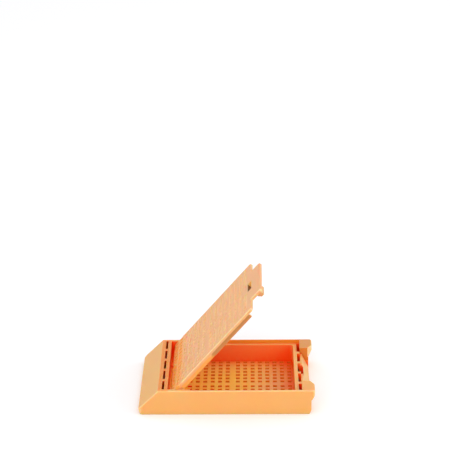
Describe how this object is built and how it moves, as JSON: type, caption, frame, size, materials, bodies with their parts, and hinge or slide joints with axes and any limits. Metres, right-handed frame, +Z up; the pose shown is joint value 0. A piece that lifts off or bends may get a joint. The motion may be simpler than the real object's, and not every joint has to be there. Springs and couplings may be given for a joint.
{
  "type": "tissue cassette",
  "caption": "Histology tissue cassette: shallow perforated basket with a sloping writing end and drain slots, closed by a hinged perforated lid with a snap finger.",
  "frame": {"origin": "centre of the base's underside", "axes": "+X along the length towards the latch end (the writing panel is at -X), +Y across the width, +Z up"},
  "size_m": [0.0404, 0.0286, 0.0283],
  "materials": {
    "moulded_acetal": "semi-matte moulded acetal, slightly translucent"
  },
  "bodies": {
    "base": {"base": "moulded_acetal"},
    "lid": {"lid": "moulded_acetal"}
  },
  "joints": [
    {"name": "lid_hinge", "type": "hinge", "parent": "base", "child": "lid", "pos_m": [-0.01, 0, 0.0042], "axis": [0, -1, 0], "range_deg": [-49, 28]}
  ]
}
